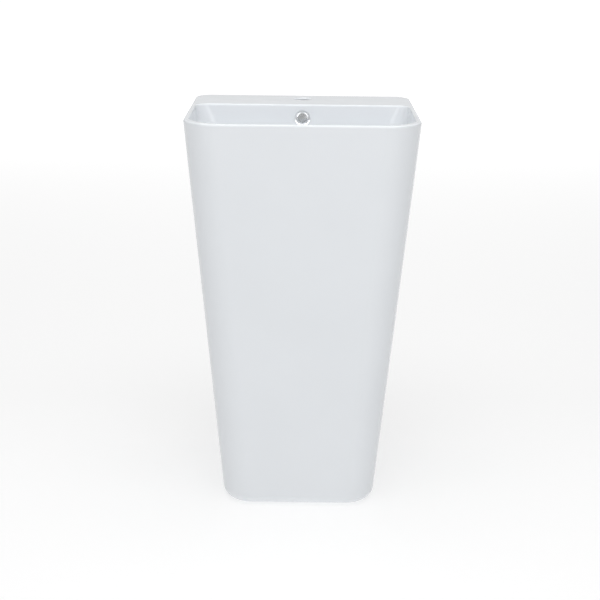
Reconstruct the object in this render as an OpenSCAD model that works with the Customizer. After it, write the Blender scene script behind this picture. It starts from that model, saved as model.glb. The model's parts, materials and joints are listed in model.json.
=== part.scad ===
// One-piece ceramic pedestal washbasin with its waste, bottle trap and floor fixings.
// Row frame: +X to the user's right, +Y towards the wall, +Z up. The floor is z = 0.
// The origin is the middle of the whole assembly's footprint, on the floor.

/* [Body] */
// Height of the rim above the floor
body_h = 850; // [835:1:870]
// Width across the rim
top_w = 480; // [470:1:500]
// Depth from the front of the rim to the wall
top_d = 420; // [415:1:430]
// Width of the foot, before its edge is rounded
base_w = 330; // [326:1:345]
// Depth of the foot, before its edge is rounded
base_d = 360; // [350:1:370]
// Plan radius of the two front corners at the rim
front_r_top = 72; // [60:1:80]
// Plan radius of the two front corners at the foot
front_r_base = 66; // [56:1:70]
// Plan radius of the two back corners
back_r = 36; // [32:1:42]
// Radius of the rounded edge round the foot
foot_r = 28; // [26:1:30]
// Radius of the rim's outer edge
rim_r = 5; // [3:0.5:6]
// Thickness of the ceramic
wall_t = 14; // [13:1:15]

/* [Bowl] */
// Width of the rim at the front and sides of the bowl
rim_w = 10; // [9:1:14]
// Depth of the tap deck, from the wall to the bowl
deck_d = 142; // [138:1:146]
// Height of the bowl's floor below the rim, at its edge
bowl_h = 130; // [120:1:135]
// How far the bowl's walls lean in on their way down
bowl_draft = 12; // [8:1:16]
// Radius between the bowl's walls and its floor
bowl_edge_r = 45; // [35:1:50]
// Plan radius of the bowl's front corners at the rim
bowl_front_r = 76; // [65:1:82]
// Plan radius of the bowl's back corners at the rim
bowl_back_r = 28; // [20:1:34]
// Fall of the bowl's floor from its edge to the waste
floor_fall = 8; // [6:1:10]
// Distance of the waste's centre from the front of the rim
drain_from_front = 150; // [145:1:160]

/* [Tap hole and overflow] */
// Radius of the tap hole
tap_hole_r = 17.5; // [17:0.5:18]
// Distance of the tap hole's centre from the wall
tap_from_wall = 55; // [50:1:60]
// Radius of the round edge of the tap hole
tap_lip_r = 4; // [2:0.5:5]
// Height of the overflow's centre below the rim
overflow_drop = 29; // [27:1:36]
// Radius of the overflow's cover ring
overflow_ring_r = 16.5; // [16:0.5:18]

/* [Waste and trap] */
// Height of the outlet pipe's centre above the floor
outlet_z = 528; // [520:1:536]
// Radius of the outlet pipe
pipe_r = 16; // [15.8:0.1:16.2]
// Length of outlet pipe that stands out behind the back, to enter the wall
pipe_reach = 40; // [30:1:50]
// Travel of the waste's plug
plug_travel = 9; // [6:1:10]

/* [Back and foot openings] */
// Width of the opening in the back and the foot
opening_w = 240; // [220:1:244]
// Height of the opening in the back
opening_h = 620; // [590:1:630]
// Distance of the floor brackets from the wall
bracket_from_wall = 110; // [100:1:130]

/* [Hidden] */
$fn = 64;
form_fn = 40;                 // facets round a corner of the body or the bowl
eps = 0.01;                   // makes cutters pass a face that they end on
gap = 0.15;                   // clearance between a thread and its nut
pipe_t = 1.5;                 // wall of the dip tube and of the outlet pipe

// Places along Y
wall_y = (top_d - pipe_reach) / 2;
front_y = wall_y - top_d;
deck_y = wall_y - deck_d;
tap_y = wall_y - tap_from_wall;
drain_y = front_y + drain_from_front;
bracket_y = wall_y - bracket_from_wall;

// Heights of the bowl and its waste
bowl_floor_z = body_h - bowl_h;
drain_z = bowl_floor_z - floor_fall;
seat_z = drain_z - 4;         // floor of the recess that takes the waste's flange
seat_r = 35;
drain_hole_r = 22.5;
boss_r = 40;
boss_z = seat_z - 42;         // underside of the boss round the waste hole
waste_r = 20.75;              // outside of the waste's thread
waste_bore = 18;
waste_z = seat_z - 86;        // lower end of the waste
spider_z = seat_z - 40;       // underside of the cross that carries the plug's cartridge
flange_r = 32;
flange_z = seat_z + 4;        // top of the waste's flange
cap_z = flange_z + 2 + plug_travel + 0.2;  // underside of the open plug's cap
shoulder_z = spider_z + 31;   // where the cartridge narrows, which stops the open plug
stem_disc_h = 3;
spring_z = spider_z + 0.4;
spring_h = shoulder_z - 0.3 - stem_disc_h - spring_z;

// Overflow: its frame sits on the bowl's back wall, square to that wall
overflow_z = body_h - overflow_drop;
wall_lean = atan(bowl_draft / (bowl_h - bowl_edge_r));
overflow_y = deck_y - overflow_drop * tan(wall_lean);
overflow_hole_r = 12;

// Overflow channel behind and under the bowl
channel_w = 34;
channel_t = 12;
channel_y = deck_y + wall_t;  // front face of the upright part
channel_z = seat_z - 24;      // underside of the level part

// Trap
inlet_z = waste_z - 10;       // underside of the inlet nut
head_r = 34;
neck_r = 20.9;
neck_z = outlet_z + 50;       // top of the trap's neck
thread_r = 31;
thread_z = outlet_z - 40;     // lower end of the trap head's thread
thread_h = 14;
cup_z = outlet_z - 104;       // underside of the cup
spigot_end = drain_y + 62;    // end of the trap's side outlet

// Side fixings
fix_z = 55;
bracket_x = opening_w / 2 - 2;  // outer face of the bracket's upright
seat_x = (base_w + (top_w - base_w) * fix_z / body_h) / 2 - 2;

function width_at(z) = base_w + (top_w - base_w) * z / body_h;
function front_at(z) = front_y + (top_d - base_d) * (1 - z / body_h);

// A rounded corner of plan radius r whose outer edge has the radius edge
module corner(r, edge) {
    rotate_extrude($fn = form_fn)
        intersection() {
            translate([r - edge, 0]) circle(edge, $fn = form_fn);
            translate([0, -edge]) square([r, 2 * edge]);
        }
}

// The tapered outer form of the body, or that form drawn in by inset on every side
module body_form(inset = 0) {
    top_z = body_h - (inset > 0 ? inset : 0) - rim_r;
    hull()
        for (side = [-1, 1]) {
            translate([side * (top_w / 2 - front_r_top), front_y + front_r_top, top_z])
                corner(front_r_top - inset, rim_r);
            translate([side * (top_w / 2 - back_r), wall_y - back_r, top_z])
                corner(back_r - inset, rim_r);
            translate([side * (width_at(foot_r) / 2 - front_r_base),
                       front_at(foot_r) + front_r_base, foot_r])
                corner(front_r_base - inset, foot_r - inset);
            translate([side * (width_at(foot_r) / 2 - back_r), wall_y - back_r, foot_r])
                corner(back_r - inset, foot_r - inset);
        }
}

// The space inside the bowl, or that space grown by the given thickness
module bowl_form(grow = 0) {
    half_w = top_w / 2 - rim_w;
    edge_z = bowl_floor_z + bowl_edge_r;
    deep_front_r = bowl_front_r + 8;
    deep_back_r = bowl_back_r + 32;
    hull() {
        for (side = [-1, 1]) {
            translate([side * (half_w - bowl_front_r), front_y + rim_w + bowl_front_r, body_h])
                cylinder(h = 2, r = bowl_front_r + grow, $fn = form_fn);
            translate([side * (half_w - bowl_back_r), deck_y - bowl_back_r, body_h])
                cylinder(h = 2, r = bowl_back_r + grow, $fn = form_fn);
            translate([side * (half_w - bowl_draft - deep_front_r),
                       front_y + rim_w + bowl_draft + deep_front_r, edge_z])
                corner(deep_front_r + grow, bowl_edge_r + grow);
            translate([side * (half_w - bowl_draft - deep_back_r),
                       deck_y - bowl_draft - deep_back_r, edge_z])
                corner(deep_back_r + grow, bowl_edge_r + grow);
        }
        translate([0, drain_y, drain_z - grow])
            cylinder(h = 1, r = seat_r + 4, $fn = form_fn);
    }
}

// Ceramic round the waste hole and the overflow channel, under and behind the bowl
module channel_casing() {
    casing_w = channel_w + 2 * 10;
    translate([0, drain_y, boss_z]) cylinder(h = drain_z - boss_z, r = boss_r);
    translate([-casing_w / 2, drain_y, channel_z - 8])
        cube([casing_w, channel_y + channel_t + 10 - drain_y, drain_z - channel_z + 4]);
    translate([-casing_w / 2, deck_y - bowl_edge_r, channel_z - 8])
        cube([casing_w, channel_y + channel_t + 10 - deck_y + bowl_edge_r,
              body_h - wall_t - channel_z + 8 + eps]);
}

// The overflow channel itself
module channel_void() {
    level_h = 14;
    translate([-channel_w / 2, channel_y, channel_z])
        cube([channel_w, channel_t, overflow_z + overflow_hole_r + 3 - channel_z]);
    translate([-channel_w / 2 + 2, drain_y, channel_z])
        cube([channel_w - 4, channel_y + channel_t / 2 - drain_y, level_h]);
}

// Opening with round upper corners, in the wall side of the body
module back_opening() {
    corner_r = 40;
    half = opening_w / 2;
    translate([0, wall_y + 1, 0]) rotate([90, 0, 0]) linear_extrude(wall_t + 30) {
        translate([-half, -1]) square([opening_w, opening_h - corner_r + 1]);
        translate([-half + corner_r, -1]) square([opening_w - 2 * corner_r, opening_h + 1]);
        for (side = [-1, 1])
            translate([side * (half - corner_r), opening_h - corner_r]) circle(corner_r);
    }
}

// Opening in the foot, which runs out at the back
module foot_opening() {
    corner_r = 20;
    half = opening_w / 2 + 2;
    start_y = front_at(0) + foot_r + 18;
    translate([0, 0, -1]) linear_extrude(wall_t + 8) {
        translate([-half, start_y + corner_r]) square([2 * half, wall_y - start_y]);
        translate([-half + corner_r, start_y]) square([2 * (half - corner_r), wall_y - start_y]);
        for (side = [-1, 1])
            translate([side * (half - corner_r), start_y + corner_r]) circle(corner_r);
    }
}

// Hole through the deck, with a rounded upper edge
module tap_hole() {
    translate([0, tap_y, body_h - wall_t - 1]) cylinder(h = wall_t + 2, r = tap_hole_r);
    translate([0, tap_y, body_h]) rotate_extrude() difference() {
        translate([0, -tap_lip_r]) square([tap_hole_r + tap_lip_r, tap_lip_r + 1]);
        translate([tap_hole_r + tap_lip_r, -tap_lip_r]) circle(tap_lip_r);
    }
}

// Places its children on the bowl's back wall, with +Z out of that wall
module at_overflow() {
    translate([0, overflow_y, overflow_z]) rotate([90 - wall_lean, 0, 0]) children();
}

// Places its children on the side wall of one side, with +Z pointing outwards
module at_side(side) {
    translate([side * seat_x, bracket_y, fix_z]) rotate([0, side * 90, 0]) children();
}

// Solid of revolution about Z from a list of [radius, height] points
module turned(points) {
    rotate_extrude() polygon(points);
}

module ring(outer, inner, h) {
    difference() {
        cylinder(h = h, r = outer);
        translate([0, 0, -1]) cylinder(h = h + 2, r = inner);
    }
}

module ceramic_body() {
    color("white") difference() {
        body_form();
        bowl_form();
        difference() {
            body_form(wall_t);
            bowl_form(wall_t);
            channel_casing();
        }
        back_opening();
        foot_opening();
        channel_void();
        tap_hole();
        translate([0, drain_y, boss_z - 1]) cylinder(h = drain_z - boss_z + 2, r = drain_hole_r);
        translate([0, drain_y, seat_z]) cylinder(h = 8, r = seat_r);
        at_overflow() translate([0, 0, -wall_t - 4]) cylinder(h = wall_t + 8, r = overflow_hole_r);
        for (side = [-1, 1]) at_side(side) {
            cylinder(h = 10, r = 11);
            translate([0, 0, -wall_t - 10]) cylinder(h = wall_t + 11, r = 6);
        }
    }
}

// --- Overflow cover ---

module overflow_ring() {
    r = overflow_ring_r;
    color("silver") at_overflow() turned([
        [12.4, 0.8], [r - 0.6, 0.8], [r, 1.2], [r - 0.5, 2.2], [r - 2, 3], [13.6, 3], [12.4, 2.2]
    ]);
}

module overflow_strainer() {
    hole_r = 1.2;
    pitch = 4.2;
    color("silver") at_overflow() translate([0, 0, 0.8]) difference() {
        cylinder(h = 1.2, r = 12.3);
        translate([0, 0, -1]) cylinder(h = 4, r = hole_r);
        for (row = [1, 2], i = [0 : 6 * row - 1])
            rotate(i * 60 / row) translate([row * pitch, 0, -1]) cylinder(h = 4, r = hole_r);
    }
}

module overflow_sleeve() {
    depth = wall_t - 2;
    color("gainsboro") at_overflow() difference() {
        union() {
            translate([0, 0, -depth]) ring(11.7, 10.2, depth + 0.8);
            for (i = [0 : 2])
                rotate(i * 120) translate([10.6, -2, -depth + 2]) cube([1.3, 4, 1.6]);
        }
        for (i = [0 : 2])
            rotate(i * 120 + 60) translate([8, -1, -depth - 1]) cube([6, 2, 9]);
    }
}

module overflow_seal() {
    color("dimgray") at_overflow() ring(15.6, 12.4, 0.8);
}

// --- Waste ---

module waste_body() {
    slot_w = 15;
    arm_w = 4;
    color("silver") translate([0, drain_y, 0]) {
        difference() {
            turned([
                [waste_bore, waste_z], [waste_r, waste_z], [waste_r, seat_z + 1.2],
                [flange_r - 0.4, seat_z + 1.2], [flange_r, seat_z + 1.8],
                [flange_r - 1.2, seat_z + 3.4], [flange_r - 4, flange_z],
                [24, flange_z], [waste_bore, flange_z - 6]
            ]);
            for (turn = [0, 90])
                rotate(turn) translate([-slot_w / 2, -waste_r - 5, channel_z])
                    cube([slot_w, 2 * waste_r + 10, 15]);
        }
        translate([0, 0, spider_z]) {
            ring(9, 5.9, 4);
            for (turn = [45, 135, 225, 315])
                rotate(turn) translate([8.5, -arm_w / 2, 0]) cube([waste_bore - 8, arm_w, 4]);
        }
    }
}

module waste_seal() {
    color("dimgray") translate([0, drain_y, seat_z]) ring(flange_r - 1, 23, 1.2);
}

module boss_gasket() {
    color("dimgray") translate([0, drain_y, boss_z]) turned([
        [waste_r + gap, -10], [27, -10], [31, -6], [31, 0], [waste_r + gap, 0]
    ]);
}

module slip_washer() {
    color("whitesmoke") translate([0, drain_y, boss_z - 12]) ring(28.5, waste_r + gap, 2);
}

module waste_locknut() {
    across_corners_r = 30.5;
    color("goldenrod") translate([0, drain_y, boss_z - 24]) difference() {
        intersection() {
            cylinder(h = 12, r = across_corners_r, $fn = 6);
            turned([[0, 0], [28, 0], [30.5, 2], [30.5, 10], [28, 12], [0, 12]]);
        }
        translate([0, 0, -1]) cylinder(h = 14, r = waste_r + gap);
    }
}

module click_cartridge() {
    shoulder = shoulder_z - spider_z;
    color("gainsboro") translate([0, drain_y, spider_z]) turned([
        [0, -5], [5.7, -5], [5.7, 4.05], [9, 4.05], [9, 8], [7.8, 8], [7.8, shoulder + 1],
        [6.8, shoulder + 3], [3.3, shoulder + 3], [3.3, shoulder], [4.9, shoulder], [4.9, 0], [0, 0]
    ]);
}

module click_spring() {
    turns = 6;
    wire_r = 0.45;
    mean_r = 4;
    steps = 12;
    sides = 6;
    count = turns * steps;
    rise = spring_h - 2 * wire_r;
    rings = [for (i = [0 : count], s = [0 : sides - 1])
        let (a = i * 360 / steps, b = s * 360 / sides, r = mean_r + wire_r * cos(b))
        [r * cos(a), r * sin(a), wire_r + rise * i / count + wire_r * sin(b)]];
    walls = [for (i = [0 : count - 1], s = [0 : sides - 1])
        let (n = (s + 1) % sides, k = i * sides)
        [k + s, k + n, k + sides + n, k + sides + s]];
    ends = [[for (s = [0 : sides - 1]) sides - 1 - s],
            [for (s = [0 : sides - 1]) count * sides + s]];
    color("silver") translate([0, drain_y, spring_z])
        polyhedron(points = rings, faces = [for (f = concat(walls, ends)) [for (j = [len(f) - 1 : -1 : 0]) f[j]]]);
}

module plug_cap() {
    r = 31;
    color("silver") translate([0, drain_y, cap_z]) difference() {
        turned([
            [0, -5], [6, -5], [6, 0], [r - 1.5, 0], [r, 1.2], [r - 0.3, 2.6],
            [r - 3, 3.8], [18, 4.7], [0, 5.2]
        ]);
        translate([0, 0, -6]) cylinder(h = 8, r = 3.05);
    }
}

module plug_seal() {
    color("dimgray") translate([0, drain_y, cap_z]) turned([
        [20.5, -2], [25.5, -2], [27.5, 0], [20.5, 0]
    ]);
}

module plug_stem() {
    disc_z = spring_z + spring_h;
    color("lightsteelblue") translate([0, drain_y, disc_z]) {
        cylinder(h = stem_disc_h, r = 4.6);
        cylinder(h = cap_z + 1.5 - disc_z, r = 3);
    }
}

// --- Bottle trap ---

// Ribbed plastic nut, open below and lipped above, standing on z = 0
module ribbed_nut(outer, bore, lip_bore, h, lip_h, ribs) {
    rib_h = h * 0.8;
    difference() {
        union() {
            turned([[0, 0], [outer - 1, 0], [outer, 1], [outer, rib_h], [outer - 3, h], [0, h]]);
            for (i = [0 : ribs - 1])
                rotate(i * 360 / ribs) translate([outer - 1, -1.6, 0.5]) cube([3, 3.2, rib_h]);
        }
        translate([0, 0, -1]) cylinder(h = h - lip_h + 1, r = bore);
        translate([0, 0, -1]) cylinder(h = h + 2, r = lip_bore);
    }
}

module inlet_nut() {
    color("whitesmoke") translate([0, drain_y, inlet_z + 24]) mirror([0, 0, 1])
        ribbed_nut(26, waste_r + gap, pipe_r + 0.6, 24, 4, 14);
}

module inlet_gasket() {
    color("dimgray") translate([0, drain_y, waste_z - 2.5]) ring(20.4, pipe_r - 1, 2.5);
}

module dip_tube() {
    color("whitesmoke") translate([0, drain_y, 0]) difference() {
        union() {
            translate([0, 0, outlet_z - 72]) cylinder(h = waste_z - 2.5 - outlet_z + 72, r = pipe_r);
            translate([0, 0, waste_z - 6]) cylinder(h = 3.5, r = 20.4);
        }
        translate([0, 0, outlet_z - 73]) cylinder(h = 220, r = pipe_r - pipe_t);
    }
}

module head_nut() {
    color("whitesmoke") translate([0, drain_y, neck_z - 14])
        ribbed_nut(26, neck_r + gap, pipe_r + 0.6, 26, 5, 14);
}

// Tapered seal that the nuts squeeze round a pipe, standing on z = 0
module taper_seal() {
    turned([[pipe_r + 0.1, 0], [neck_r - 1, 0], [neck_r - 0.2, 2], [neck_r - 0.2, 6.8], [pipe_r + 0.1, 6.8]]);
}

module head_seal() {
    color("dimgray") translate([0, drain_y, neck_z]) taper_seal();
}

module trap_head() {
    inner_r = head_r - 4;
    color("whitesmoke") translate([0, drain_y, 0]) difference() {
        union() {
            turned([
                [0, thread_z], [thread_r, thread_z], [thread_r, thread_z + thread_h],
                [head_r, thread_z + thread_h], [head_r, outlet_z + 20],
                [neck_r, outlet_z + 32], [neck_r, neck_z], [0, neck_z]
            ]);
            translate([0, 0, outlet_z]) rotate([-90, 0, 0]) cylinder(h = spigot_end - drain_y, r = neck_r);
        }
        turned([
            [0, thread_z - 1], [thread_r - 3, thread_z - 1], [thread_r - 3, thread_z + thread_h],
            [inner_r, thread_z + thread_h + 2], [inner_r, outlet_z + 18],
            [pipe_r + 0.4, outlet_z + 28], [pipe_r + 0.4, neck_z + 1], [0, neck_z + 1]
        ]);
        translate([0, 0, outlet_z]) rotate([-90, 0, 0])
            cylinder(h = spigot_end - drain_y + 1, r = pipe_r + 0.4);
    }
}

module cup_seal() {
    color("dimgray") translate([0, drain_y, thread_z - 3]) ring(thread_r - 0.4, thread_r - 3, 2.9);
}

module trap_cup() {
    collar_r = head_r + 1.5;
    top_z = thread_z + thread_h - 0.5;
    ledge_z = thread_z - 3.1;
    ribs = 12;
    color("whitesmoke") translate([0, drain_y, 0]) difference() {
        union() {
            turned([
                [0, cup_z], [14, cup_z], [24, cup_z + 3], [30, cup_z + 10], [32, cup_z + 18],
                [32, ledge_z - 4], [collar_r, ledge_z], [collar_r, top_z], [0, top_z]
            ]);
            for (i = [0 : ribs - 1])
                rotate(i * 360 / ribs) translate([collar_r - 1, -2, ledge_z]) cube([2.6, 4, top_z - ledge_z - 2]);
        }
        turned([
            [0, cup_z + 3], [13, cup_z + 3], [22, cup_z + 6], [27, cup_z + 12], [28, cup_z + 19],
            [28, ledge_z], [thread_r + 0.2, ledge_z], [thread_r + 0.2, top_z + 1], [0, top_z + 1]
        ]);
    }
}

// Places its children on the outlet's axis, with +Z towards the wall
module at_outlet(y) {
    translate([0, y, outlet_z]) rotate([-90, 0, 0]) children();
}

module outlet_nut() {
    color("whitesmoke") at_outlet(spigot_end - 14)
        ribbed_nut(26, neck_r + gap, pipe_r + 0.6, 26, 5, 14);
}

module outlet_seal() {
    color("dimgray") at_outlet(spigot_end) taper_seal();
}

// The outlet pipe has a shallow groove that marks how far it enters the wall
module outlet_pipe() {
    start = spigot_end - 18;
    l = wall_y + pipe_reach - start;
    mark = l - pipe_reach;
    color("whitesmoke") at_outlet(start) turned([
        [pipe_r - pipe_t, 0], [pipe_r, 0], [pipe_r, mark], [pipe_r - 0.4, mark + 0.5],
        [pipe_r, mark + 1], [pipe_r, l - 1], [pipe_r - 0.8, l], [pipe_r - pipe_t, l]
    ]);
}

module wall_rosette() {
    h = 10;
    color("whitesmoke") at_outlet(wall_y) turned([
        [pipe_r + 0.3, 0], [34, 0], [34, -1.5], [31, -4], [24, -h + 1.5], [pipe_r + 3, -h], [pipe_r + 0.3, -h]
    ]);
}

// --- Floor fixings ---

// Angle bracket that is screwed to the floor and holds the side screw
module floor_bracket(side) {
    t = 4;
    w = 46;
    foot_l = 52;
    h = 76;
    color("lightgray") translate([side * bracket_x, bracket_y, 0]) mirror([side > 0 ? 1 : 0, 0, 0])
        difference() {
            union() {
                translate([0, -w / 2, 0]) cube([foot_l, w, t]);
                translate([0, -w / 2, 0]) cube([t, w, h]);
                for (rib_y = [-w / 2, w / 2 - t])
                    translate([0, rib_y + t, 0]) rotate([90, 0, 0])
                        linear_extrude(t) polygon([[0, 0], [foot_l - 6, 0], [foot_l - 6, 6], [t, 46], [0, 46]]);
            }
            translate([30, 0, -1]) cylinder(h = t + 2, r = 4.5);
            translate([-1, 0, fix_z]) rotate([0, 90, 0]) cylinder(h = t + 2, r = 6);
        }
}

// Nylon plug in the bracket's upright, that the side screw bites into
module bracket_plug(side) {
    color("whitesmoke") translate([side * bracket_x, bracket_y, fix_z]) rotate([0, side * 90, 0])
        turned([[3, -16], [5.8, -16], [5.8, 0], [9, 0], [9, 3], [3, 3]]);
}

module side_screw(side) {
    tip = bracket_x - 20 - seat_x;
    color("lightsteelblue") at_side(side) turned([
        [0, tip], [1.5, tip + 3], [2.9, tip + 7], [2.9, 0.6], [5, 1.6], [5, 3.4], [3.6, 4.4], [0, 4.4]
    ]);
}

module cap_washer(side) {
    color("whitesmoke") at_side(side) turned([
        [3.2, 0], [10, 0], [10, 1.4], [8.6, 2.6], [6.6, 2.6], [5.4, 0.8], [3.2, 0.6]
    ]);
}

module cover_cap(side) {
    color("silver") at_side(side) turned([
        [0, 5], [7, 4.8], [8.8, 3.2], [8.8, 2.7], [10.2, 1.5], [10.8, 1.5], [10.8, 3.4],
        [9.4, 5.6], [6, 6.6], [0, 7]
    ]);
}

ceramic_body();
overflow_ring();
overflow_strainer();
overflow_sleeve();
overflow_seal();
waste_body();
waste_seal();
boss_gasket();
slip_washer();
waste_locknut();
click_cartridge();
click_spring();
plug_cap();
plug_seal();
plug_stem();
inlet_nut();
inlet_gasket();
dip_tube();
head_nut();
head_seal();
trap_head();
cup_seal();
trap_cup();
outlet_nut();
outlet_seal();
outlet_pipe();
wall_rosette();
floor_bracket(-1);  // left_floor_bracket
floor_bracket(1);  // right_floor_bracket
bracket_plug(-1);  // left_bracket_plug
bracket_plug(1);  // right_bracket_plug
side_screw(-1);  // left_side_screw
side_screw(1);  // right_side_screw
cap_washer(-1);  // left_cap_washer
cap_washer(1);  // right_cap_washer
cover_cap(-1);  // left_cover_cap
cover_cap(1);  // right_cover_cap
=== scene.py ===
import json
import math

import bmesh
import bpy
from mathutils import Matrix, Vector


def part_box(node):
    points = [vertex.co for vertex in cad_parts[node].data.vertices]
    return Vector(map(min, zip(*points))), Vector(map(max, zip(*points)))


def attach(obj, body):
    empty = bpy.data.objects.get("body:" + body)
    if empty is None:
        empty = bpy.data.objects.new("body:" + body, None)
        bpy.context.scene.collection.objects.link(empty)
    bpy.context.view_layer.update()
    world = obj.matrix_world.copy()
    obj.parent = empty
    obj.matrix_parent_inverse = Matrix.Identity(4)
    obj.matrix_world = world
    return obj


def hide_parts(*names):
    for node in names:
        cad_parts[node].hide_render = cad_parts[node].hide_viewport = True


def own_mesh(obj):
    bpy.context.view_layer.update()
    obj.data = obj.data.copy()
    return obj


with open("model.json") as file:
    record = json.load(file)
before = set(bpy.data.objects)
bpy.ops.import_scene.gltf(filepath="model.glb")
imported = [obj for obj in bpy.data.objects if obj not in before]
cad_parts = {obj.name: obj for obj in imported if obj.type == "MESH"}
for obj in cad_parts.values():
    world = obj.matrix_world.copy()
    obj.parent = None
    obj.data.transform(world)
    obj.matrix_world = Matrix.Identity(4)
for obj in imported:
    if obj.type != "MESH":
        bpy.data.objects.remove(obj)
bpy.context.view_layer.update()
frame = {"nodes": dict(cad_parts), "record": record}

MM = 0.001
tap_hole = next(mount for mount in frame["record"]["mounts"] if mount["name"] == "tap_hole")

# --- Sizes of the ceramic body, in metres. Its overall size and its tap hole come from the frame ---

body_low, body_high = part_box("ceramic_body")
WALL_Y = body_high.y
FRONT_Y = body_low.y
BODY_H = body_high.z
TOP_W = body_high.x - body_low.x
TOP_D = WALL_Y - FRONT_Y
BASE_W = 330 * MM
BASE_D = 360 * MM
FRONT_R_TOP = 72 * MM
FRONT_R_BASE = 66 * MM
BACK_R = 36 * MM
FOOT_R = 28 * MM
RIM_R = 5 * MM
WALL_T = 14 * MM

RIM_W = 10 * MM
DECK_D = 142 * MM
BOWL_H = 130 * MM
BOWL_DRAFT = 12 * MM
BOWL_EDGE_R = 45 * MM
BOWL_FRONT_R = 76 * MM
BOWL_BACK_R = 28 * MM
DEEP_FRONT_R = BOWL_FRONT_R + 8 * MM
DEEP_BACK_R = BOWL_BACK_R + 32 * MM
FLOOR_FALL = 8 * MM
DECK_Y = WALL_Y - DECK_D
BOWL_FLOOR_Z = BODY_H - BOWL_H
DRAIN_Z = BOWL_FLOOR_Z - FLOOR_FALL
SEAT_DEPTH = 4 * MM
SEAT_R = 35 * MM
DRAIN_R = 22.5 * MM
DRAIN_Y = sum(corner.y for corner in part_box("waste_seal")) / 2
SEAT_Z = DRAIN_Z - SEAT_DEPTH
BOSS_R = 40 * MM
BOSS_Z = SEAT_Z - 42 * MM

RIM_IN_R = 3 * MM        # round inner edge of the rim
DECK_EDGE_R = 5 * MM     # round front edge of the tap deck
EDGE_BREAK = 2 * MM      # chamfer where an opening meets an outer face

TAP_Y = tap_hole["pos_m"][1]
TAP_R = tap_hole["dims"]["r_mm"] * MM
TAP_LIP_R = 4 * MM
OVERFLOW_R = 12 * MM
CHANNEL_W = 34 * MM
CHANNEL_T = 12 * MM
CHANNEL_Y = DECK_Y + WALL_T
CHANNEL_Z = SEAT_Z - 24 * MM
OPENING_W = 240 * MM
OPENING_H = 620 * MM
OPENING_CORNER_R = 40 * MM       # round upper corners of the back opening
FOOT_OPENING_CORNER_R = 20 * MM
CASING_T = 10 * MM               # ceramic round the overflow channel
OVERLAP = MM                     # how far a cutter runs past the face that it leaves by

WALL_LEAN = math.atan(BOWL_DRAFT / (BOWL_H - BOWL_EDGE_R))
OVERFLOW_DROP = 29 * MM          # from the rim down to the overflow's centre
OVERFLOW_Z = BODY_H - OVERFLOW_DROP
OVERFLOW_Y = DECK_Y - OVERFLOW_DROP * math.tan(WALL_LEAN)

# --- Mesh tools ---


def new_object(name, mesh):
    made = bpy.data.objects.new(name, mesh)
    bpy.context.scene.collection.objects.link(made)
    return made


def mesh_from(name, points, faces):
    mesh = bpy.data.meshes.new(name)
    mesh.from_pydata([tuple(point) for point in points], [], faces)
    mesh.validate()
    work = bmesh.new()
    work.from_mesh(mesh)
    bmesh.ops.remove_doubles(work, verts=work.verts, dist=1e-7)
    bmesh.ops.recalc_face_normals(work, faces=work.faces)
    work.to_mesh(mesh)
    work.free()
    return mesh


def skin(name, rings, cap_first=True, cap_last=True):
    """A closed tube through rings that all have the same number of points."""
    count = len(rings[0])
    points = [point for ring in rings for point in ring]
    faces = []
    for level in range(len(rings) - 1):
        low, high = level * count, (level + 1) * count
        for i in range(count):
            j = (i + 1) % count
            faces.append((low + i, low + j, high + j, high + i))
    if cap_first:
        faces.append(tuple(range(count)))
    if cap_last:
        faces.append(tuple((len(rings) - 1) * count + i for i in range(count)))
    return new_object(name, mesh_from(name, points, faces))


def turned(name, profile, segments=96, place=None):
    """A solid of revolution about Z; profile is a closed run of (radius, height)."""
    rings = []
    for radius, height in profile:
        rings.append([
            Vector((radius * math.cos(a), radius * math.sin(a), height))
            for a in (2 * math.pi * i / segments for i in range(segments))
        ])
    closed = profile[0][0] > 0 and profile[-1][0] > 0
    if closed:
        rings.append(rings[0])
    made = skin(name, rings, cap_first=False, cap_last=False)
    if place is not None:
        made.data.transform(place)
    return made


def box_mesh(name, low, high):
    """A box between two corners."""
    (x0, y0, z0), (x1, y1, z1) = low, high
    ring = [(x0, y0), (x1, y0), (x1, y1), (x0, y1)]
    return skin(name, [[Vector((x, y, z)) for x, y in ring] for z in (z0, z1)])


def drum(name, centre, radius, z0, z1, segments=96, place=None):
    """A plain cylinder along Z, for cutting."""
    rings = []
    for z in (z0, z1):
        rings.append([
            Vector((radius * math.cos(a), radius * math.sin(a), z)) + Vector(centre)
            for a in (2 * math.pi * i / segments for i in range(segments))
        ])
    made = skin(name, rings)
    if place is not None:
        made.data.transform(place)
    return made


def boolean(target, tool, operation="DIFFERENCE"):
    """Applies a boolean to target, and removes the tool."""
    if not tool.data.materials:
        tool.data.materials.append(target.data.materials[0] if target.data.materials else None)
    modifier = target.modifiers.new("cut", "BOOLEAN")
    modifier.operation = operation
    modifier.solver = "MANIFOLD"
    modifier.material_mode = "TRANSFER"
    modifier.object = tool
    depsgraph = bpy.context.evaluated_depsgraph_get()
    result = bpy.data.meshes.new_from_object(target.evaluated_get(depsgraph))
    target.modifiers.clear()
    old = target.data
    target.data = result
    bpy.data.meshes.remove(old)
    spare = tool.data
    bpy.data.objects.remove(tool)
    bpy.data.meshes.remove(spare)
    return target


def finish_shading(made, angle=32):
    """Smooth faces with sharp edges kept, and flat faces that stay flat."""
    mesh = made.data
    mesh.polygons.foreach_set("use_smooth", [True] * len(mesh.polygons))
    mesh.set_sharp_from_angle(angle=math.radians(angle))
    weighted = made.modifiers.new("weighted", "WEIGHTED_NORMAL")
    weighted.keep_sharp = True
    return made


# --- Rounded-rectangle outlines ---

CORNER_STEPS = 20
FLAT_STEPS = 10


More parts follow.
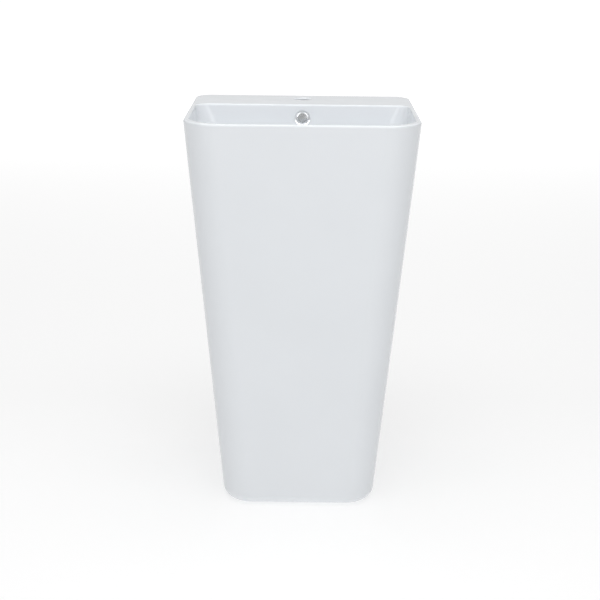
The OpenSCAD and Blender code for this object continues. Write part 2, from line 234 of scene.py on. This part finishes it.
def stations(half_w, y_front, y_back, r_front, r_back, inset):
    """Points on a rounded rectangle drawn in by inset, each with its outward direction."""
    corners = [
        (half_w - r_front, y_front + r_front, r_front, -90),
        (half_w - r_back, y_back - r_back, r_back, 0),
        (-half_w + r_back, y_back - r_back, r_back, 90),
        (-half_w + r_front, y_front + r_front, r_front, 180),
    ]
    arcs = []
    for x, y, radius, start in corners:
        arc = []
        for step in range(CORNER_STEPS + 1):
            angle = math.radians(start + 90 * step / CORNER_STEPS)
            out = Vector((math.cos(angle), math.sin(angle), 0))
            arc.append((Vector((x, y, 0)) + out * (radius - inset), out))
        arcs.append(arc)
    found = []
    for arc, following in zip(arcs, arcs[1:] + arcs[:1]):
        found += arc
        (start, out), (end, _) = arc[-1], following[0]
        for step in range(1, FLAT_STEPS):
            found.append((start.lerp(end, step / FLAT_STEPS), out))
    return found


def arc_point(core, out, radius, angle):
    """The point on a round edge whose normal is raised by angle from out."""
    return core + out * (radius * math.cos(angle)) + Vector((0, 0, radius * math.sin(angle)))


def tapered_rings(inset=0.0):
    """Rings up the outside of the body, or of its cavity, from the foot to the top edge."""
    foot_r = FOOT_R - inset
    top_z = BODY_H - inset - RIM_R
    t = FOOT_R / BODY_H
    foot_half = (BASE_W + (TOP_W - BASE_W) * t) / 2
    foot_front = FRONT_Y + (TOP_D - BASE_D) * (1 - t)
    foot = stations(foot_half, foot_front, WALL_Y, FRONT_R_BASE, BACK_R, FOOT_R)
    top = stations(TOP_W / 2, FRONT_Y, WALL_Y, FRONT_R_TOP, BACK_R, inset + RIM_R)
    steps, wall_steps = 10, 14
    foot_arcs, walls, top_arcs = [], [], []
    for (low, out), (high, _) in zip(foot, top):
        low = low + Vector((0, 0, FOOT_R))
        high = high + Vector((0, 0, top_z))
        along, rise = (high - low).dot(out), high.z - low.z
        reach = math.hypot(along, rise)
        lean = math.atan2(rise, along) - math.acos((foot_r - RIM_R) / reach)
        arc = [-math.pi / 2 + (lean + math.pi / 2) * k / steps for k in range(steps + 1)]
        foot_arcs.append([arc_point(low, out, foot_r, angle) for angle in arc])
        arc = [lean + (math.pi / 2 - lean) * k / steps for k in range(steps + 1)]
        top_arcs.append([arc_point(high, out, RIM_R, angle) for angle in arc])
        start, end = foot_arcs[-1][-1], top_arcs[-1][0]
        walls.append([start.lerp(end, k / wall_steps) for k in range(1, wall_steps)])
    rows = [a + b + c for a, b, c in zip(foot_arcs, walls, top_arcs)]
    return [list(ring) for ring in zip(*rows)]


def rim_edge_radius(out, y):
    """Radius of the bowl's top edge: that of the rim in front, of the deck behind."""
    share = max(0.0, out.y) if y > DECK_Y - BOWL_BACK_R - MM else 0.0
    return RIM_IN_R + (DECK_EDGE_R - RIM_IN_R) * share


def bowl_rings(grow=0.0):
    """Rings down the bowl, or down its outside, from the rim to the edge of the waste's seat."""
    half = TOP_W / 2 - RIM_W
    rim = stations(half, FRONT_Y + RIM_W, DECK_Y, BOWL_FRONT_R, BOWL_BACK_R, 0)
    deep = stations(
        half - BOWL_DRAFT, FRONT_Y + RIM_W + BOWL_DRAFT, DECK_Y - BOWL_DRAFT,
        DEEP_FRONT_R, DEEP_BACK_R, BOWL_EDGE_R,
    )
    drain = Vector((0, DRAIN_Y, DRAIN_Z - grow))
    drain_r = SEAT_R + 3 * MM
    edge_z = BOWL_FLOOR_Z + BOWL_EDGE_R
    radius = BOWL_EDGE_R + grow
    roll_steps, wall_steps, edge_steps, floor_steps = 8, 8, 14, 10
    rows = []
    for (high, out), (low, _) in zip(rim, deep):
        high = high + Vector((0, 0, BODY_H)) + out * grow
        low = low + Vector((0, 0, edge_z))
        along, rise = (high - low).dot(out), high.z - low.z
        lean = math.acos(radius / math.hypot(along, rise)) - math.atan2(rise, along)
        start = arc_point(low, out, radius, -lean)
        floor_from = low - Vector((0, 0, radius))
        flat = Vector((floor_from.x, floor_from.y, 0)) - Vector((0, DRAIN_Y, 0))
        slope = math.atan2(floor_from.z - drain.z, flat.length - drain_r)
        row = []
        if grow:
            row.append(high + Vector((0, 0, 2 * MM)))
            row.append(high)
        else:
            edge_r = rim_edge_radius(out, high.y)
            centre = high + out * (edge_r * (1 / math.cos(lean) - math.tan(lean)))
            centre.z -= edge_r
            for k in range(roll_steps + 1):
                angle = math.pi / 2 + (math.pi / 2 - lean) * k / roll_steps
                row.append(arc_point(centre, out, edge_r, angle))
        begin = row[-1]
        row += [begin.lerp(start, k / wall_steps) for k in range(1, wall_steps)]
        for k in range(edge_steps + 1):
            angle = -lean + (lean + slope - math.pi / 2) * k / edge_steps
            row.append(arc_point(low, out, radius, angle))
        begin = row[-1]
        toward = flat.normalized()
        end = drain + toward * drain_r
        row += [begin.lerp(end, k / floor_steps) for k in range(1, floor_steps + 1)]
        rows.append(row)
    return [list(ring) for ring in zip(*rows)]


def round_rings(template, profile):
    """Rings round the waste at the angles of an existing ring; profile is (radius, z)."""
    centre = Vector((0, DRAIN_Y, 0))
    rings = []
    for radius, z in profile:
        ring = []
        for point in template:
            toward = Vector((point.x, point.y, 0)) - centre
            ring.append(centre + toward.normalized() * radius + Vector((0, 0, z)))
        rings.append(ring)
    return rings


# --- The ceramic body ---


def cavity_cutter(finish):
    """The hollow in the pedestal, which leaves the bowl and the overflow channel's walls."""
    cavity = skin("cavity", tapered_rings(WALL_T))
    cavity.data.materials.append(finish)
    bowl = bowl_rings(WALL_T)
    boolean(cavity, skin("bowl_outside", bowl[::-1]))
    casing_w = CHANNEL_W / 2 + CASING_T
    casing_back = CHANNEL_Y + CHANNEL_T + CASING_T
    casing_low = CHANNEL_Z - 8 * MM
    low = (-casing_w, DRAIN_Y, casing_low)
    high = (casing_w, casing_back, DRAIN_Z - 4 * MM)
    boolean(cavity, box_mesh("casing", low, high))
    low = (-casing_w, DECK_Y - BOWL_EDGE_R, casing_low)
    high = (casing_w, casing_back, BODY_H)
    boolean(cavity, box_mesh("casing", low, high))
    boss = drum("boss", (0, DRAIN_Y, 0), BOSS_R, BOSS_Z, DRAIN_Z)
    return boolean(cavity, boss)


def arch(half, corner, top, foot, steps=12):
    """Outline of an opening with two round upper corners, from its foot up to its top."""
    points = [(half, foot)]
    for start, side in ((0, 1), (90, -1)):
        for step in range(steps + 1):
            angle = math.radians(start + 90 * step / steps)
            points.append((
                side * (half - corner) + corner * math.cos(angle),
                top - corner + corner * math.sin(angle),
            ))
    points.append((-half, foot))
    return points


def back_opening_cutter():
    """Opening in the wall side, with a chamfer at the outer face."""
    depth, below = WALL_T + 16 * MM, -20 * MM
    levels = [
        (WALL_Y - depth, 0), (WALL_Y - EDGE_BREAK, 0), (WALL_Y + OVERLAP, EDGE_BREAK + OVERLAP),
    ]
    rings = []
    for y, grow in levels:
        corner = OPENING_CORNER_R + grow
        outline = arch(OPENING_W / 2 + grow, corner, OPENING_H + grow, below)
        rings.append([Vector((x, y, z)) for x, z in outline])
    return skin("back_opening", rings)


def foot_opening_cutter():
    """Opening in the foot, which runs out at the back, with a chamfer underneath."""
    front = FRONT_Y + TOP_D - BASE_D + FOOT_R + 18 * MM
    half, behind = OPENING_W / 2 + 2 * MM, -WALL_Y - 20 * MM
    levels = [(-OVERLAP, EDGE_BREAK + OVERLAP), (EDGE_BREAK, 0), (WALL_T + 7 * MM, 0)]
    rings = []
    for z, grow in levels:
        outline = arch(half + grow, FOOT_OPENING_CORNER_R + grow, -front + grow, behind)
        rings.append([Vector((x, -y, z)) for x, y in outline])
    return skin("foot_opening", rings)


def at_overflow():
    """Places a piece made about Z on the bowl's back wall, facing the bowl."""
    turn = Matrix.Rotation(math.pi / 2 - WALL_LEAN, 4, "X")
    return Matrix.Translation((0, OVERFLOW_Y, OVERFLOW_Z)) @ turn


def side_hole_cutter(side):
    """Counterbored hole for one side screw."""
    washer = "right_cap_washer" if side > 0 else "left_cap_washer"
    low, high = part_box(washer)
    seat_x = low.x if side > 0 else high.x
    place = Matrix.Translation((seat_x, (low.y + high.y) / 2, (low.z + high.z) / 2))
    place = place @ Matrix.Rotation(side * math.pi / 2, 4, "Y")
    hole_r, seat_r, depth, reach = 6 * MM, 11 * MM, 25 * MM, 10 * MM
    profile = [
        (0, -depth), (hole_r, -depth), (hole_r, 0), (seat_r, 0), (seat_r, reach), (0, reach),
    ]
    return turned("side_hole", profile, 64, place)


def tap_hole_cutter():
    """Hole through the deck with its round, glazed lip, which stops short of level."""
    depth, reach = WALL_T + 2 * MM, 2 * MM
    profile = [(0, -depth), (TAP_R, -depth)]
    steps, sweep = 10, 84
    for step in range(steps + 1):
        angle = math.radians(180 - sweep * step / steps)
        profile.append((
            TAP_R + TAP_LIP_R + TAP_LIP_R * math.cos(angle),
            -TAP_LIP_R + TAP_LIP_R * math.sin(angle),
        ))
    profile += [(profile[-1][0], reach), (0, reach)]
    return turned("tap_hole_tool", profile, 128, Matrix.Translation((0, TAP_Y, BODY_H)))


def channel_cutters():
    """The overflow channel: upright behind the bowl, then level to the waste hole."""
    top = OVERFLOW_Z + OVERFLOW_R + 3 * MM
    apart = 0.1 * MM  # keeps the two floors from lying in one plane
    half = CHANNEL_W / 2
    upright = box_mesh(
        "channel", (-half, CHANNEL_Y, CHANNEL_Z), (half, CHANNEL_Y + CHANNEL_T, top)
    )
    half -= 2 * MM
    level = box_mesh(
        "channel",
        (-half, DRAIN_Y, CHANNEL_Z + apart),
        (half, CHANNEL_Y + CHANNEL_T / 2, CHANNEL_Z + 14 * MM),
    )
    return upright, level


def ceramic_body(finishes):
    """The whole casting: outside, rim and bowl as one skin, then everything that is cut from it."""
    bowl = bowl_rings()
    seat = round_rings(bowl[-1], [
        (SEAT_R + 1.6 * MM, DRAIN_Z - 0.3 * MM), (SEAT_R + 0.5 * MM, DRAIN_Z - 1.1 * MM),
        (SEAT_R, DRAIN_Z - 2.2 * MM), (SEAT_R, SEAT_Z),
    ])
    body = skin("ceramic_basin", tapered_rings() + bowl + seat)
    body.data.materials.append(finishes["glazed_ceramic"])
    boolean(body, cavity_cutter(finishes["bisque"]))
    boolean(body, back_opening_cutter())
    boolean(body, foot_opening_cutter())
    for tool in channel_cutters():
        boolean(body, tool)
    boolean(body, tap_hole_cutter())
    boolean(body, drum("waste_hole", (0, DRAIN_Y, 0), DRAIN_R, BOSS_Z - OVERLAP, DRAIN_Z))
    depth = WALL_T + 4 * MM
    hole = drum("overflow_hole", (0, 0, 0), OVERFLOW_R, -depth, 6 * MM, 96, at_overflow())
    boolean(body, hole)
    for side in (-1, 1):
        boolean(body, side_hole_cutter(side))
    bisque = body.data.materials.find(finishes["bisque"].name)
    for face in body.data.polygons:
        if face.center.z < 0.1 * MM:
            face.material_index = bisque
    finish_shading(body)
    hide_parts("ceramic_body")
    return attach(body, "basin")


# --- Chrome fittings ---


def bulge(start, end, height, steps=8):
    """Points of an arc from start to end in a profile, whose middle stands out by height to the left."""
    start, end = Vector(start), Vector(end)
    along = end - start
    half = along.length / 2
    out = Vector((-along.y, along.x)).normalized()
    radius = (half * half + height * height) / (2 * height)
    centre = (start + end) / 2 + out * (height - radius)
    sweep = 2 * math.asin(half / radius)
    side = math.atan2((start - centre).y, (start - centre).x)
    return [
        centre + radius * Vector((math.cos(angle), math.sin(angle)))
        for angle in (side - sweep * k / steps for k in range(steps + 1))
    ]


def overflow_ring(finish):
    """Cover ring: a crowned face with a rolled outer edge, and a step down to the strainer."""
    low, high = 0.8 * MM, 3 * MM
    inner, outer = 12.4 * MM, 16.5 * MM
    profile = [(inner, low), (outer - 0.5 * MM, low), (outer, low + 0.5 * MM)]
    start, end = (outer, low + 0.9 * MM), (outer - 1.6 * MM, high - 0.15 * MM)
    profile += bulge(start, end, -0.35 * MM)
    start, end = (outer - 1.7 * MM, high - 0.12 * MM), (inner + 0.9 * MM, high - 0.2 * MM)
    profile += bulge(start, end, 0.1 * MM)
    profile += [(inner + 0.35 * MM, high - 0.5 * MM), (inner, high - 1.1 * MM)]
    profile = [(point[0], point[1]) for point in profile]
    made = turned("chrome_overflow_ring", profile, 128, at_overflow())
    made.data.materials.append(finish)
    finish_shading(made, 50)
    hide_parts("overflow_ring")
    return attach(made, "basin")


def overflow_strainer(finish):
    """Crowned strainer disc with one hole, then rings of six and twelve, each countersunk."""
    low, high = 0.8 * MM, 2.0 * MM
    reach, hole_r, row_pitch = 12.3 * MM, 1.2 * MM, 4.2 * MM
    crown, crown_r = 0.3 * MM, reach - 0.4 * MM
    profile = [(0, low), (reach, low), (reach, high - 0.5 * MM), (crown_r, high - crown)]
    steps = 12
    for step in range(1, steps + 1):
        share = 1 - step / steps
        profile.append((crown_r * share, high - crown * share * share))
    made = turned("chrome_overflow_strainer", profile, 96)
    made.data.materials.append(finish)
    sink = 0.25 * MM
    for row in range(3):
        for i in range(max(1, 6 * row)):
            turn = Matrix.Rotation(math.radians(60 * i / max(1, row)), 4, "Z")
            centre = turn @ Vector((row * row_pitch, 0, 0))
            top = high - crown * (row * row_pitch / reach) ** 2
            tool = [
                (0, 0), (hole_r, 0), (hole_r, top - sink), (hole_r + 2 * sink, top + sink),
                (0, top + sink),
            ]
            boolean(made, turned("hole", tool, 24, Matrix.Translation(centre)))
    made.data.transform(at_overflow())
    finish_shading(made, 40)
    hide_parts("overflow_strainer")
    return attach(made, "basin")


def plug_spring(finish):
    """The plug's spring: a coil of round wire that fills the CAD spring's box."""
    low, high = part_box("click_spring")
    length = high.z - low.z
    wire_r = 0.45 * MM
    coil_r = (high.x - low.x) / 2 - wire_r
    turns, steps, sides = 6, 32, 10
    count = turns * steps
    rings = []
    for i in range(count + 1):
        angle = 2 * math.pi * i / steps
        out = Vector((math.cos(angle), math.sin(angle), 0))
        rise = wire_r + (length - 2 * wire_r) * i / count
        core = Vector((0, DRAIN_Y, low.z + rise)) + out * coil_r
        rings.append([
            arc_point(core, out, wire_r, 2 * math.pi * side / sides) for side in range(sides)
        ])
    made = skin("plug_spring", rings)
    made.data.materials.append(finish)
    made.data.polygons.foreach_set("use_smooth", [True] * len(made.data.polygons))
    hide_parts("click_spring")
    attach(made, "basin")
    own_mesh(made)
    return made


# --- Materials ---


def material(name):
    """A node material and its Principled shader."""
    made = bpy.data.materials.new(name)
    made.use_nodes = True
    return made, made.node_tree.nodes["Principled BSDF"]


def link(made, source, socket):
    made.node_tree.links.new(source, socket)


def node(made, kind, **values):
    """A shader node, with its properties and then its inputs set by name."""
    created = made.node_tree.nodes.new(kind)
    for key, value in values.items():
        if hasattr(created, key):
            setattr(created, key, value)
        else:
            created.inputs[key.replace("_", " ")].default_value = value
    return created


def coordinates(made):
    """Object coordinates in metres."""
    return node(made, "ShaderNodeTexCoord").outputs["Object"]


def noise(made, vector, scale, detail=2.0, roughness=0.5):
    created = node(made, "ShaderNodeTexNoise", Scale=scale, Detail=detail, Roughness=roughness)
    link(made, vector, created.inputs["Vector"])
    return created.outputs["Fac"]


def ramp(made, source, low, high, start=0.0, end=1.0):
    """Colours or greys from low to high as source goes from start to end."""
    created = node(made, "ShaderNodeValToRGB")
    for element, colour, at in zip(created.color_ramp.elements, (low, high), (start, end)):
        colour = colour if isinstance(colour, tuple) else (colour,) * 3
        element.color = (*colour, 1)
        element.position = at
    link(made, source, created.inputs["Fac"])
    return created.outputs["Color"]


def between(made, source, reach, values):
    """A number that goes from one value to the other as source goes over its reach."""
    created = node(made, "ShaderNodeMapRange")
    for name, value in zip(("From Min", "From Max", "To Min", "To Max"), (*reach, *values)):
        created.inputs[name].default_value = value
    link(made, source, created.inputs["Value"])
    return created.outputs["Result"]


def bump(made, shader, height, strength, distance, after=None):
    created = node(made, "ShaderNodeBump", Strength=strength, Distance=distance)
    link(made, height, created.inputs["Height"])
    if after is not None:
        link(made, after, created.inputs["Normal"])
    link(made, created.outputs["Normal"], shader.inputs["Normal"])
    return created.outputs["Normal"]


def glazed_ceramic():
    made, shader = material("glazed_ceramic")
    place = coordinates(made)
    drift = noise(made, place, 6.0, 3.0)
    colour = ramp(made, drift, (0.785, 0.810, 0.838), (0.800, 0.825, 0.853), 0.3, 0.7)
    link(made, colour, shader.inputs["Base Color"])
    sheen = ramp(made, noise(made, place, 28.0, 4.0), 0.10, 0.17, 0.3, 0.7)
    link(made, sheen, shader.inputs["Roughness"])
    shader.inputs["IOR"].default_value = 1.5
    bump(made, shader, noise(made, place, 45.0, 2.0), 0.12, 0.0006)
    return made


def chrome():
    made, shader = material("polished_chrome")
    place = coordinates(made)
    shader.inputs["Metallic"].default_value = 1.0
    colour = ramp(made, noise(made, place, 90.0), (0.80, 0.81, 0.83), (0.88, 0.89, 0.90), 0.3, 0.7)
    link(made, colour, shader.inputs["Base Color"])
    sheen = ramp(made, noise(made, place, 260.0, 5.0), 0.05, 0.14, 0.35, 0.7)
    link(made, sheen, shader.inputs["Roughness"])
    bump(made, shader, noise(made, place, 400.0, 2.0), 0.05, 0.0002)
    return made


def plain(name, low, high, rough, grain, depth, metallic):
    """A moulded, plated or drawn finish: a colour and roughness that drift, and a fine grain."""
    made, shader = material(name)
    place = coordinates(made)
    shader.inputs["Metallic"].default_value = metallic
    colour = ramp(made, noise(made, place, grain / 8, 3.0), low, high, 0.3, 0.7)
    link(made, colour, shader.inputs["Base Color"])
    sheen = ramp(made, noise(made, place, grain / 3, 4.0), *rough, 0.3, 0.7)
    link(made, sheen, shader.inputs["Roughness"])
    bump(made, shader, noise(made, place, grain, 3.0), 0.25, depth)
    return made


# Dark colour, light colour, roughness from and to, grain, depth of the grain, and metallic
PLAIN_FINISHES = {
    "bisque": ((0.62, 0.60, 0.56), (0.72, 0.70, 0.66), (0.75, 0.9), 350, 0.0006, 0),
    "stainless": ((0.5, 0.51, 0.53), (0.64, 0.65, 0.67), (0.2, 0.34), 900, 0.0002, 1),
    "zinc_steel": ((0.5, 0.52, 0.55), (0.66, 0.68, 0.7), (0.3, 0.5), 420, 0.0003, 1),
    "brass": ((0.62, 0.43, 0.17), (0.76, 0.57, 0.27), (0.22, 0.36), 700, 0.0002, 1),
    "white_plastic": ((0.76, 0.77, 0.77), (0.82, 0.83, 0.83), (0.28, 0.4), 1200, 0.0001, 0),
    "nylon": ((0.68, 0.67, 0.62), (0.76, 0.75, 0.71), (0.42, 0.55), 1000, 0.0002, 0),
    "rubber": ((0.018, 0.018, 0.02), (0.04, 0.04, 0.043), (0.55, 0.75), 800, 0.0002, 0),
}


def paint_nodes():
    """Gives every CAD node the finish of its slot, and returns all the finishes by name."""
    finishes = {"glazed_ceramic": glazed_ceramic(), "chrome": chrome()}
    for name, values in PLAIN_FINISHES.items():
        finishes[name] = plain(name, *values)
    for part in frame["record"]["subparts"]:
        piece = frame["nodes"][part["node"]]
        finish = finishes[part["material_slot"]]
        if piece.data.materials:
            for index in range(len(piece.data.materials)):
                piece.material_slots[index].link = "OBJECT"
                piece.material_slots[index].material = finish
        else:
            piece.data.materials.append(finish)
    return finishes


# --- Stage, light and camera ---


def stage():
    """A plain pale floor that glows, and more so far behind, so that it stays an even white."""
    floor = box_mesh("floor", (-30, -30, -0.02), (30, 30, 0))
    made, shader = material("studio_floor")
    grey = ramp(made, noise(made, coordinates(made), 0.5), 0.49, 0.51)
    link(made, grey, shader.inputs["Base Color"])
    shader.inputs["Roughness"].default_value = 0.9
    shader.inputs["Emission Color"].default_value = (1, 1, 1, 1)
    place = node(made, "ShaderNodeSeparateXYZ")
    link(made, coordinates(made), place.inputs["Vector"])
    glow = between(made, place.outputs["Y"], (0.5, 5), (0.55, 0.91))
    link(made, glow, shader.inputs["Emission Strength"])
    floor.data.materials.append(made)


def area_light(name, place, target, size, power):
    data = bpy.data.lights.new(name, "AREA")
    data.shape = "RECTANGLE"
    data.size, data.size_y = size
    data.energy = power
    lamp = new_object(name, data)
    lamp.location = place
    lamp.rotation_euler = (Vector(target) - Vector(place)).to_track_quat("-Z", "Y").to_euler()
    return lamp


def lighting():
    """A room that is bright behind and in front, a soft box overhead and three in front."""
    world = bpy.data.worlds.new("studio")
    bpy.context.scene.world = world
    world.use_nodes = True
    background = world.node_tree.nodes["Background"]
    background.inputs["Color"].default_value = (1, 1, 1, 1)
    direction = node(world, "ShaderNodeSeparateXYZ")
    source = node(world, "ShaderNodeTexCoord")
    link(world, source.outputs["Generated"], direction.inputs["Vector"])
    behind = between(world, direction.outputs["Y"], (0, 1), (0, 0.59))
    before = between(world, direction.outputs["Y"], (-1, 0), (0.57, 0))
    strength = node(world, "ShaderNodeMath", operation="ADD")
    link(world, behind, strength.inputs[0])
    link(world, before, strength.inputs[1])
    link(world, strength.outputs["Value"], background.inputs["Strength"])
    area_light("overhead", (0, -0.4, 3.1), (0, 0, 0.6), (3.4, 2.6), 65)
    area_light("front_right", (0.9, -3, 2.1), (0, -0.2, 0.5), (1.4, 1.4), 10)
    area_light("front_left", (-0.9, -3, 2.1), (0, -0.2, 0.5), (1.4, 1.4), 11.5)
    area_light("front_low", (0.8, -3.2, 0.9), (0, -0.2, 0.4), (1.4, 0.9), 1.5)


def camera():
    """Camera in front of and above the basin, looking down, very slightly turned about its axis."""
    data = bpy.data.cameras.new("camera")
    data.sensor_width = 36
    data.lens = 76.44
    data.clip_end = 100
    made = new_object("camera", data)
    aside, distance, height = -MM, 2.485, 1.253
    look_down, roll = 0.2971, 0.0111
    place = Matrix.Translation((aside, FRONT_Y - distance, height))
    tilt = Matrix.Rotation(math.pi / 2 - look_down, 4, "X")
    made.matrix_world = place @ tilt @ Matrix.Rotation(roll, 4, "Z")
    bpy.context.scene.camera = made
    bpy.context.scene.view_settings.view_transform = "Standard"


camera()
lighting()
stage()
finishes = paint_nodes()
ceramic_body(finishes)
overflow_ring(finishes["chrome"])
overflow_strainer(finishes["chrome"])
plug_spring(finishes["stainless"])
